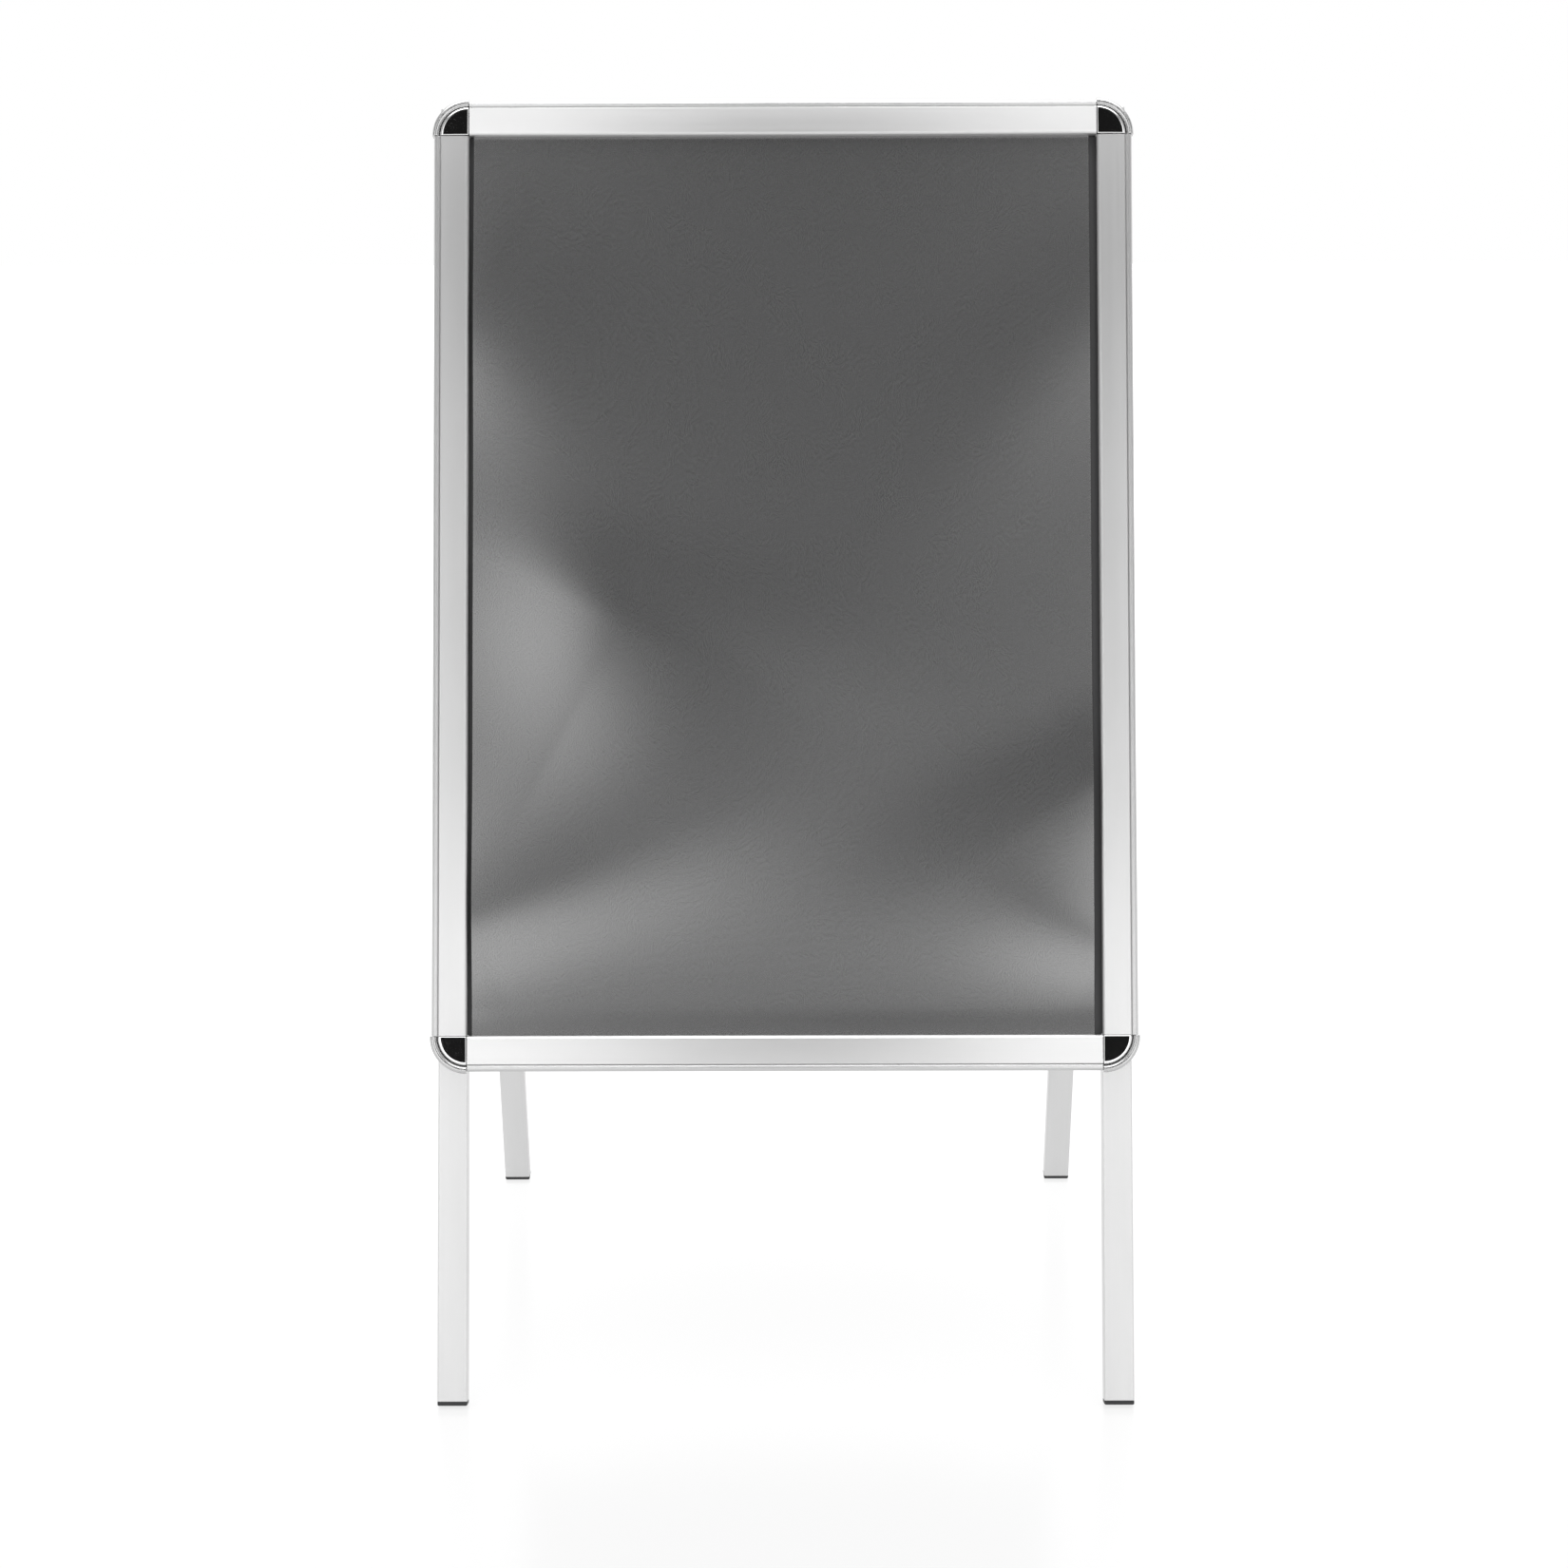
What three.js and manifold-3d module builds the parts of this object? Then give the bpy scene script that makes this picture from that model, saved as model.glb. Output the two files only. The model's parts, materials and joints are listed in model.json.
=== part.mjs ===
// Sandwich board: two snap-frame poster sides on tube legs, hinged to each other along the top.
//
// Millimetres, +Z up. X runs across the board, the front side faces -Y and the rear side faces +Y.
// The origin is on the floor, under the middle of the hinge axis.
//
// Each side is drawn in its own upright group whose origin is on the hinge axis: x across, z up along
// the legs, and y from the poster face to the back, so that "out" below means a distance towards -y
// and "down" a distance towards -z. The group is then tilted by the spread of the legs.
//
// The four bars round the poster share one cross-section, drawn as (u, w): u is measured outwards
// from the edge of the opening, and w from the back of the frame towards the face.

import * as THREE from "three";
import { mergeVertices } from "three/addons/utils/BufferGeometryUtils.js";
import Module from "manifold-3d";

const manifold = await Module();
manifold.setup();

// ---------------------------------------------------------------- driving dimensions

const GAP = 0.3; // between pieces that touch on the real board

const TILT = THREE.MathUtils.degToRad(14); // each side leans this far from upright
const SIDE_LENGTH = 1178; // hinge axis to the sole of the foot, along the side

const OPENING_WIDTH = 574; // visible part of an A1 poster
const OPENING_HEIGHT = 821;
const BAR_WIDTH = 32; // width of the snap profile
const FRAME_RISE = 8; // top edge of the frame above the hinge axis

const LEG_OUT = 4; // back of the leg from the plane between the two sides
const LEG_DEPTH = 15;
const LEG_WIDTH = 27;
const LEG_WALL = 1.5;
const LEG_ROUND = 1.6;
const LEG_OUTER_X = 314.2; // outer face of each leg
const LEG_TOP_DOWN = -4; // top of the tube, down from the hinge axis: it is 4 mm above it
const SOLE_THICKNESS = 3.6; // part of the foot plug that shows below the tube
const SOLE_ROUND = 1.2; // radius round the edge of the sole
const PLUG_DEPTH = 22; // part of the foot plug inside the tube

const HEAD_RADIUS = 3.45; // round head along the outer edge of a bar, the hinge of the snap cover
const HEAD_W = 8.6;
const COVER_W = 12.3; // front face of a snap cover
const LIP_W = 5.0; // where the snap cover's lip rests on the poster

const PANEL_THICKNESS = 1.2;
const PANEL_W = 1.5; // back of the panel
const PANEL_TUCK = 15.6; // part of the panel behind the bars
const SHEET_THICKNESS = 0.5;
const SHEET_W = 4.2;
const SHEET_TUCK = 10; // part of the sheet under the top and bottom lips
const SHEET_LEFT_MARGIN = 4; // the sheet is narrower than the opening
const SHEET_RIGHT_MARGIN = 7;

const CORNER_RADIUS = 33.8; // a little proud of the bars

const PLATE = 2.5; // sheet steel of the hinge ears and stays
const EYE_RADIUS = 8;
const PIN_RADIUS = 3;
const STAY_PIVOT_DOWN = 400; // on the front legs
const STAY_STUD_DOWN = 120; // on the rear legs
const STAY_HALF_WIDTH = 5.5;
const RIVET_RADIUS = 2.5;
const RIVET_OUT = 9; // nearer the back of the leg, so that the stays swing clear of the panels

// ---------------------------------------------------------------- derived places

const HEAD_U = BAR_WIDTH - HEAD_RADIUS;
const HINGE_HEIGHT = SIDE_LENGTH * Math.cos(TILT) - (LEG_OUT + SOLE_ROUND) * Math.sin(TILT);
const FRAME_OUT = LEG_OUT + LEG_DEPTH + GAP; // back of the frame
const OPENING_TOP_DOWN = BAR_WIDTH - FRAME_RISE;
const OPENING_MIDDLE_DOWN = OPENING_TOP_DOWN + OPENING_HEIGHT / 2;
const LEG_X = LEG_OUTER_X - LEG_WIDTH / 2;
const LEG_INNER_X = LEG_OUTER_X - LEG_WIDTH;
const LEG_MIDDLE_OUT = LEG_OUT + LEG_DEPTH / 2;
const TUBE_LENGTH = SIDE_LENGTH - SOLE_THICKNESS - GAP - LEG_TOP_DOWN;
const EAR_TOP = 2;
const EAR_BOTTOM = 44;
const EAR_IN = LEG_OUT + 2; // ends of the ear's plate, out from the middle plane
const EAR_OUT = LEG_OUT + LEG_DEPTH - 1.5;
const PAD_TOP = 14;
const SPRING_LENGTH = 44;
const OUTER_LAYER_X = LEG_INNER_X - GAP - PLATE; // inner face of the layer next to the legs
const INNER_LAYER_X = OUTER_LAYER_X - GAP - PLATE;

// ---------------------------------------------------------------- materials

const aluminium = new THREE.MeshStandardMaterial({ color: 0xc9cbce, roughness: 0.35, metalness: 1 });
const chrome = new THREE.MeshStandardMaterial({ color: 0xd8dadd, roughness: 0.06, metalness: 1 });
const panelPlastic = new THREE.MeshStandardMaterial({ color: 0x3b3c3e, roughness: 0.55, metalness: 0 });
const clearFilm = new THREE.MeshStandardMaterial({ color: 0x6a6b6d, roughness: 0.3, metalness: 0 });
const blackPlastic = new THREE.MeshStandardMaterial({ color: 0x1c1c1d, roughness: 0.6, metalness: 0 });
const zincSteel = new THREE.MeshStandardMaterial({ color: 0x9da0a3, roughness: 0.4, metalness: 1 });
const springSteel = new THREE.MeshStandardMaterial({ color: 0x6d6f72, roughness: 0.3, metalness: 1 });

// ---------------------------------------------------------------- outlines and solids

function arc(x, y, radius, fromDegrees, toDegrees, stepDegrees = 15) {
  const steps = Math.max(1, Math.round(Math.abs(toDegrees - fromDegrees) / stepDegrees));
  const points = [];
  for (let i = 0; i <= steps; i++) {
    const a = THREE.MathUtils.degToRad(fromDegrees + ((toDegrees - fromDegrees) * i) / steps);
    points.push([x + radius * Math.cos(a), y + radius * Math.sin(a)]);
  }
  return points;
}

function roundedRectangle(width, depth, radius) {
  const x = width / 2 - radius;
  const y = depth / 2 - radius;
  return [
    ...arc(x, -y, radius, -90, 0, 30),
    ...arc(x, y, radius, 0, 90, 30),
    ...arc(-x, y, radius, 90, 180, 30),
    ...arc(-x, -y, radius, 180, 270, 30),
  ];
}

// The outline of a strip of constant width with round ends, along a line of points.
function ribbon(line, halfWidth) {
  const left = [];
  const right = [];
  line.forEach(([x, y], i) => {
    const before = line[Math.max(0, i - 1)];
    const after = line[Math.min(line.length - 1, i + 1)];
    const length = Math.hypot(after[0] - before[0], after[1] - before[1]);
    const nx = -(after[1] - before[1]) / length;
    const ny = (after[0] - before[0]) / length;
    left.push([x + nx * halfWidth, y + ny * halfWidth]);
    right.push([x - nx * halfWidth, y - ny * halfWidth]);
  });
  const headingAt = (a, b) => THREE.MathUtils.radToDeg(Math.atan2(b[1] - a[1], b[0] - a[0]));
  const start = headingAt(line[0], line[1]);
  const end = headingAt(line[line.length - 2], line[line.length - 1]);
  return [
    ...right,
    ...arc(...line[line.length - 1], halfWidth, end - 75, end + 75),
    ...left.reverse(),
    ...arc(...line[0], halfWidth, start + 105, start + 255),
  ];
}

const shapeOf = (points) => new THREE.Shape(points.map(([x, y]) => new THREE.Vector2(x, y)));
const pathOf = (points) => new THREE.Path(points.map(([x, y]) => new THREE.Vector2(x, y)));

// A prism from z = from to z = to, with optional holes.
function prism(points, from, to, holes = []) {
  const shape = shapeOf(points);
  shape.holes = holes.map(pathOf);
  return new THREE.ExtrudeGeometry(shape, { depth: to - from, bevelEnabled: false }).translate(0, 0, from);
}

// A plate drawn in the (y, z) plane of a side, from x = from to x = to.
const AXES_YZX = new THREE.Matrix4().makeBasis(
  new THREE.Vector3(0, 1, 0),
  new THREE.Vector3(0, 0, 1),
  new THREE.Vector3(1, 0, 0),
);
function plateAcross(points, from, to, holes = []) {
  return prism(points, from, to, holes).applyMatrix4(AXES_YZX);
}

function boxBetween([x0, y0, z0], [x1, y1, z1]) {
  return new THREE.BoxGeometry(x1 - x0, y1 - y0, z1 - z0).translate((x0 + x1) / 2, (y0 + y1) / 2, (z0 + z1) / 2);
}

// A round piece along X, from (x, radius) pairs.
function turnedAlongX(profile, segments = 20) {
  const points = profile.map(([x, radius]) => new THREE.Vector2(radius, x));
  return new THREE.LatheGeometry(points, segments).rotateZ(-Math.PI / 2);
}

function toManifold(geometry) {
  const bare = geometry.clone();
  bare.deleteAttribute("normal");
  bare.deleteAttribute("uv");
  const merged = mergeVertices(bare, 1e-4);
  return new manifold.Manifold(
    new manifold.Mesh({
      numProp: 3,
      vertProperties: merged.attributes.position.array,
      triVerts: new Uint32Array(merged.index.array),
    }),
  );
}

function fromManifold(solid) {
  const mesh = solid.getMesh();
  const geometry = new THREE.BufferGeometry();
  geometry.setAttribute("position", new THREE.BufferAttribute(mesh.vertProperties, 3));
  geometry.setIndex(new THREE.BufferAttribute(mesh.triVerts, 1));
  geometry.computeVertexNormals();
  return geometry;
}

const combine = (how, first, others) =>
  fromManifold(others.reduce((solid, other) => solid[how](toManifold(other)), toManifold(first)));
const join = (first, ...others) => combine("add", first, others);
const cut = (first, ...others) => combine("subtract", first, others);
const common = (first, ...others) => combine("intersect", first, others);

function mesh(name, geometry, material) {
  const made = new THREE.Mesh(geometry, material);
  made.name = name;
  return made;
}

// ---------------------------------------------------------------- snap profile

// The rail: back plate, ledge over the panel, outer wall and the round head on it.
function railOutline() {
  const wall = 1.8;
  const back = 1.2;
  const ledgeW = 3.0;
  const ledgeTop = 4.0;
  const webU = PANEL_TUCK + GAP * 2;
  const neckU = BAR_WIDTH - wall;
  const neckAngle = 360 - THREE.MathUtils.radToDeg(Math.acos((neckU - HEAD_U) / HEAD_RADIUS));
  return [
    [2, 0],
    [BAR_WIDTH, 0],
    ...arc(HEAD_U, HEAD_W, HEAD_RADIUS, 0, neckAngle),
    [neckU, back],
    [webU + back, back],
    [webU + back, ledgeTop],
    [4, ledgeTop],
    [4, ledgeW],
    [webU, ledgeW],
    [webU, back],
    [2, back],
  ];
}

// The snap cover: a face plate with a lip on the poster side and a socket round the rail's head.
function coverOutline() {
  const socketInner = HEAD_RADIUS + GAP;
  const socketOuter = socketInner + 1.3;
  const underW = COVER_W - 1.3;
  const underAngle = 180 - THREE.MathUtils.radToDeg(Math.asin((underW - HEAD_W) / socketOuter));
  const nose = 3.2;
  return [
    ...arc(HEAD_U, HEAD_W, socketInner, 235, 135),
    [25.1, COVER_W],
    ...arc(nose, COVER_W - nose, nose, 90, 180),
    [0, LIP_W + 0.4],
    [0.4, LIP_W],
    [1.5, LIP_W],
    [1.5, COVER_W - nose],
    [2.2, underW - 0.7],
    [3.2, underW],
    ...arc(HEAD_U, HEAD_W, socketOuter, underAngle, 235),
  ];
}

// The leaf spring: clipped flat in the rail and curled round the outside of the cover's socket.
function springOutline() {
  const thickness = 0.8;
  const curl = HEAD_RADIUS + 2.4;
  const flatW = 1.5;
  const bend = arc(HEAD_U, HEAD_W, curl + thickness, 180, 222);
  const inside = arc(HEAD_U, HEAD_W, curl, 222, 180);
  return [[18.8, flatW], [24.6, flatW], ...inside, ...bend, [23.4, flatW + thickness], [18.8, flatW + thickness]];
}

// Bars and corners are placed by a quarter turn about the middle of the opening:
// 0 is the bar on the +x side, then top, -x side and bottom.
function placeOnFrame(piece, quarter) {
  const sideways = quarter % 2 === 0 ? OPENING_WIDTH / 2 : OPENING_HEIGHT / 2;
  const angle = (quarter * Math.PI) / 2;
  piece.rotation.set(Math.PI, -angle, 0, "YXZ");
  piece.position.set(
    sideways * Math.cos(angle),
    -FRAME_OUT,
    sideways * Math.sin(angle) - OPENING_MIDDLE_DOWN,
  );
  return piece;
}

function barPrism(outline, length) {
  return prism(outline, -length / 2, length / 2);
}

// ---------------------------------------------------------------- corners

// A quarter-round casting: a rim that carries on the bars' heads round the corner, a raised cap
// inside it, a pocket in its back and a tongue into the chamber of each of the two rails.
function cornerGeometry() {
  const rimRadius = CORNER_RADIUS - HEAD_RADIUS;
  const capRadius = CORNER_RADIUS - 2 * HEAD_RADIUS - 0.5;
  const capTop = 13.4;
  const shoulder = 2.6;
  const section = [
    [0, 0],
    [CORNER_RADIUS, 0],
    ...arc(rimRadius, HEAD_W, HEAD_RADIUS, 0, 165),
    [capRadius, HEAD_W],
    ...arc(capRadius - shoulder, capTop - 1 - shoulder, shoulder, 0, 75),
    [capRadius * 0.5, capTop - 0.25],
    [0, capTop],
  ].map(([radius, w]) => new THREE.Vector2(radius, w));
  const disc = new THREE.LatheGeometry(section, 64);
  const start = GAP;
  const quadrant = boxBetween([start, -1, start], [CORNER_RADIUS + 1, 20, CORNER_RADIUS + 1]);
  const pocket = boxBetween([4, -1, 4], [17, 9, 17]);
  const tongueLength = 24;
  const tongues = [
    boxBetween([19, 1.5, -tongueLength], [24.6, 3.3, 4]),
    boxBetween([-tongueLength, 1.5, 19], [4, 3.3, 24.6]),
  ];
  return join(cut(common(disc, quadrant), pocket), ...tongues);
}

// A corner belongs to the bar before it, at that bar's lower end in the bar's own direction.
function placeCorner(piece, quarter) {
  const angle = (quarter * Math.PI) / 2;
  const alongBar = quarter % 2 === 0 ? OPENING_HEIGHT / 2 : OPENING_WIDTH / 2;
  placeOnFrame(piece, quarter);
  piece.position.x += alongBar * Math.sin(angle);
  piece.position.z -= alongBar * Math.cos(angle);
  return piece;
}

// ---------------------------------------------------------------- panel and sheet

function panelGeometry() {
  const x = OPENING_WIDTH / 2;
  const z = OPENING_HEIGHT / 2;
  const notch = GAP * 2;
  const outline = [
    [-x + notch, -z - PANEL_TUCK],
    [x - notch, -z - PANEL_TUCK],
    [x - notch, -z + notch],
    [x + PANEL_TUCK, -z + notch],
    [x + PANEL_TUCK, z - notch],
    [x - notch, z - notch],
    [x - notch, z + PANEL_TUCK],
    [-x + notch, z + PANEL_TUCK],
    [-x + notch, z - notch],
    [-x - PANEL_TUCK, z - notch],
    [-x - PANEL_TUCK, -z + notch],
    [-x + notch, -z + notch],
  ];
  return prism(outline, 0, PANEL_THICKNESS).rotateX(Math.PI / 2);
}

function panel(name) {
  const made = mesh(name, panelGeometry(), panelPlastic);
  made.position.set(0, -FRAME_OUT - PANEL_W, -OPENING_MIDDLE_DOWN);
  return made;
}

function posterSheet(name) {
  const width = OPENING_WIDTH - SHEET_LEFT_MARGIN - SHEET_RIGHT_MARGIN;
  const height = OPENING_HEIGHT + 2 * SHEET_TUCK;
  const made = mesh(name, new THREE.BoxGeometry(width, SHEET_THICKNESS, height), clearFilm);
  made.position.set(
    (SHEET_LEFT_MARGIN - SHEET_RIGHT_MARGIN) / 2,
    -FRAME_OUT - SHEET_W - SHEET_THICKNESS / 2,
    -OPENING_MIDDLE_DOWN,
  );
  return made;
}

// ---------------------------------------------------------------- legs and feet

// sign is -1 or 1: which side of the middle the leg is on, so that the rivet hole faces inwards.
function legGeometry(sign, rivetDown) {
  const outer = roundedRectangle(LEG_WIDTH, LEG_DEPTH, LEG_ROUND);
  const inner = roundedRectangle(LEG_WIDTH - 2 * LEG_WALL, LEG_DEPTH - 2 * LEG_WALL, LEG_ROUND * 0.6);
  const tube = prism(outer, -TUBE_LENGTH, 0, [inner]);
  const hole = turnedAlongX([[-3, 0], [-3, RIVET_RADIUS + GAP], [3, RIVET_RADIUS + GAP], [3, 0]], 16);
  hole.translate((-sign * LEG_WIDTH) / 2, LEG_MIDDLE_OUT - RIVET_OUT, LEG_TOP_DOWN - rivetDown);
  return cut(tube, hole);
}

function leg(name, sign, rivetDown) {
  const made = mesh(name, legGeometry(sign, rivetDown), aluminium);
  made.position.set(sign * LEG_X, -LEG_MIDDLE_OUT, -LEG_TOP_DOWN);
  return made;
}

// A plug in the lower end of the tube, with a sole as wide as the tube and rounded underneath.
function footGeometry() {
  const sole = new THREE.ExtrudeGeometry(
    shapeOf(roundedRectangle(LEG_WIDTH - 2 * SOLE_ROUND, LEG_DEPTH - 2 * SOLE_ROUND, LEG_ROUND / 2)),
    { depth: 0.4, bevelThickness: SOLE_ROUND, bevelSize: SOLE_ROUND, bevelSegments: 3 },
  ).translate(0, 0, SOLE_ROUND);
  const brimBottom = SOLE_ROUND + 0.2;
  const brim = prism(roundedRectangle(LEG_WIDTH, LEG_DEPTH, LEG_ROUND), brimBottom, SOLE_THICKNESS);
  const clear = 2 * (LEG_WALL + GAP);
  const stem = prism(
    roundedRectangle(LEG_WIDTH - clear, LEG_DEPTH - clear, LEG_ROUND / 2),
    brimBottom,
    SOLE_THICKNESS + PLUG_DEPTH,
  );
  return join(sole, brim, stem);
}

function foot(name, sign) {
  const made = mesh(name, footGeometry(), blackPlastic);
  made.position.set(sign * LEG_X, -LEG_MIDDLE_OUT, -SIDE_LENGTH);
  return made;
}

// ---------------------------------------------------------------- top hinge

// The ear of a front leg lies in the layer next to the leg. The ear of a rear leg lies in the next
// layer inwards and has a pad behind it that reaches the leg, so the two eyes pass each other.

function earOutline() {
  return [
    ...arc(0, 0, EYE_RADIUS, 15, 135),
    [-EAR_OUT, -EAR_TOP],
    [-EAR_OUT, -EAR_BOTTOM],
    [-EAR_IN, -EAR_BOTTOM],
    [-EAR_IN + 3, -PAD_TOP],
    ...arc(0, 0, EYE_RADIUS, 285, 360),
  ];
}

const eyeHole = () => arc(0, 0, PIN_RADIUS + GAP, 345, 0, 20);

function earGeometry(from, padTo) {
  const plate = plateAcross(earOutline(), from, from + PLATE, [eyeHole()]);
  if (padTo === undefined) {
    return plate;
  }
  const pad = boxBetween([from + 1, -EAR_OUT, -EAR_BOTTOM], [padTo, -EAR_IN, -PAD_TOP]);
  return join(plate, pad);
}

function ear(name, sign, layerX, padTo) {
  const geometry = earGeometry(layerX, padTo);
  return mesh(name, sign < 0 ? mirroredInX(geometry) : geometry, zincSteel);
}

// The same solid on the other side of the middle plane x = 0, with its faces still pointing out.
function mirroredInX(geometry) {
  const flat = geometry.index ? geometry.toNonIndexed() : geometry.clone();
  const position = flat.getAttribute("position");
  for (let i = 0; i < position.count; i += 3) {
    const corners = [0, 2, 1].map((k) => new THREE.Vector3().fromBufferAttribute(position, i + k));
    corners.forEach((corner, k) => position.setXYZ(i + k, -corner.x, corner.y, corner.z));
  }
  flat.computeVertexNormals();
  return flat;
}

function hingePin(name, sign) {
  const head = INNER_LAYER_X - GAP;
  const end = LEG_INNER_X + 1;
  const profile = [
    [head - 2, 0],
    [head - 2, 4.4],
    [head - 1.4, 5],
    [head, 5],
    [head, PIN_RADIUS],
    [end - 0.6, PIN_RADIUS],
    [end, PIN_RADIUS - 0.6],
    [end, 0],
  ];
  const made = mesh(name, turnedAlongX(profile), zincSteel);
  made.rotation.y = sign < 0 ? Math.PI : 0;
  return made;
}

// ---------------------------------------------------------------- stays

// Each stay turns on a rivet in the front leg and slides along a stud in the rear leg. The stay's
// turn is a fixed share of the fold, so its slot follows the path of the stud seen from the stay.
const FOLD_RANGE = 2 * TILT; // spread open to flat shut

// From the pivot to the stud, in the front side's (y, z), with the sides at the given angle apart.
function studFromPivot(apart) {
  const y = RIVET_OUT * (1 + Math.cos(apart)) + STAY_STUD_DOWN * Math.sin(apart);
  const z = RIVET_OUT * Math.sin(apart) - STAY_STUD_DOWN * Math.cos(apart) + STAY_PIVOT_DOWN;
  return { length: Math.hypot(y, z), lean: Math.atan2(y, z) };
}

const STAY_OPEN = studFromPivot(FOLD_RANGE);
const STAY_SHUT = studFromPivot(0);
const STAY_RATIO = (STAY_OPEN.lean - STAY_SHUT.lean) / FOLD_RANGE;

function slotLine() {
  const steps = 10;
  const line = [];
  for (let i = 0; i <= steps; i++) {
    const closed = (FOLD_RANGE * i) / steps;
    const stud = studFromPivot(FOLD_RANGE - closed);
    const offLine = stud.lean - (STAY_OPEN.lean - STAY_RATIO * closed);
    line.push([stud.length * Math.sin(offLine), stud.length * Math.cos(offLine)]);
  }
  return line;
}

function stayGeometry() {
  const from = OUTER_LAYER_X;
  const to = from + PLATE;
  const hole = arc(0, 0, RIVET_RADIUS + GAP, 345, 0, 20);
  const bar = plateAcross(ribbon([[0, 0], [0, STAY_OPEN.length]], STAY_HALF_WIDTH), from, to, [hole]);
  const slotHalfWidth = RIVET_RADIUS + 1.5 * GAP;
  const head = plateAcross(ribbon(slotLine(), slotHalfWidth + 3.4), from, to);
  const slot = plateAcross(ribbon(slotLine(), slotHalfWidth), from - 1, to + 1);
  return cut(join(bar, head), slot);
}

function stay(name, sign) {
  const geometry = stayGeometry();
  const made = mesh(name, sign < 0 ? mirroredInX(geometry) : geometry, zincSteel);
  made.position.set(0, -RIVET_OUT, -STAY_PIVOT_DOWN);
  made.rotation.x = -STAY_OPEN.lean;
  return made;
}

// A rivet through the stay and the inner wall of the leg, closed by a bulb inside the tube.
function stayRivet(name, sign, down) {
  const head = OUTER_LAYER_X - GAP;
  const bulb = LEG_INNER_X + LEG_WALL + GAP;
  const profile = [
    [head - 1.5, 0],
    [head - 1.5, 3.4],
    [head - 0.5, 4.7],
    [head, 4.7],
    [head, RIVET_RADIUS],
    [bulb, RIVET_RADIUS],
    [bulb, RIVET_RADIUS + 0.6],
    [bulb + 1.6, RIVET_RADIUS],
    [bulb + 1.6, 0],
  ];
  const made = mesh(name, turnedAlongX(profile), zincSteel);
  made.rotation.y = sign < 0 ? Math.PI : 0;
  made.position.set(0, -RIVET_OUT, -down);
  return made;
}

// ---------------------------------------------------------------- one side of the board


// names lists the four bars in the order of placeOnFrame, as seen from in front of the whole board.
function side(prefix, names, rivetDown, earLayerX, earPadTo) {
  const group = new THREE.Group();
  group.name = `${prefix}_side`;
  names.forEach((place, quarter) => {
    const length = (quarter % 2 === 0 ? OPENING_HEIGHT : OPENING_WIDTH) - 2 * GAP;
    const bars = [
      [`${prefix}_rail_${place}`, railOutline(), length, aluminium],
      [`${prefix}_cover_${place}`, coverOutline(), length, aluminium],
      [`${prefix}_spring_${place}`, springOutline(), SPRING_LENGTH, springSteel],
    ];
    bars.forEach(([name, outline, size, material]) => {
      group.add(placeOnFrame(mesh(name, barPrism(outline, size), material), quarter));
    });
    const neighbour = names[(quarter + 3) % 4];
    const isLevel = place === "top" || place === "bottom";
    const corner = isLevel ? `${place}_${neighbour}` : `${neighbour}_${place}`;
    group.add(placeCorner(mesh(`${prefix}_corner_${corner}`, cornerGeometry(), chrome), quarter));
  });
  group.add(panel(`${prefix}_back_panel`));
  group.add(posterSheet(`${prefix}_poster_sheet`));
  [1, -1].forEach((sign) => {
    const hand = sign > 0 ? names[0] : names[2];
    group.add(leg(`${prefix}_leg_${hand}`, sign, rivetDown));
    group.add(foot(`${prefix}_foot_${hand}`, sign));
    group.add(ear(`${prefix}_hinge_ear_${hand}`, sign, earLayerX, earPadTo));
    group.add(stayRivet(`${prefix}_stay_rivet_${hand}`, sign, rivetDown));
  });
  group.rotation.x = -TILT;
  return group;
}

// ---------------------------------------------------------------- the whole board

const board = new THREE.Group();
board.name = "sandwich_board";

const hingeLine = new THREE.Group();
hingeLine.name = "hinge_line";
hingeLine.position.z = HINGE_HEIGHT;
board.add(hingeLine);

const front = side("front", ["right", "top", "left", "bottom"], STAY_PIVOT_DOWN, OUTER_LAYER_X);
front.add(stay("stay_right", 1));
front.add(stay("stay_left", -1));
hingeLine.add(front);

const rear = side("rear", ["left", "top", "right", "bottom"], STAY_STUD_DOWN, INNER_LAYER_X, OUTER_LAYER_X + PLATE);
const turnedRound = new THREE.Group();
turnedRound.name = "rear_facing";
turnedRound.rotation.z = Math.PI;
turnedRound.add(rear);
hingeLine.add(turnedRound);

hingeLine.add(hingePin("hinge_pin_right", 1));
hingeLine.add(hingePin("hinge_pin_left", -1));

export default board;
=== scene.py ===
"""The looks of a sandwich board: two snap-frame poster sides on tube legs, hinged along the top.

Profiles are written in millimetres and turned to metres when a mesh is made. Each side of the board has
its own upright frame, as in the CAD part: x across, z up along the legs with its origin on the hinge
axis, and y from the poster face to the back. Bars and corners are drawn as (u, w), where u runs outwards
from the edge of the opening and w from the back of the frame towards the face.
"""

import json
import math

import bmesh
import bpy
from mathutils import Matrix, Vector
from mathutils.geometry import tessellate_polygon


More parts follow.
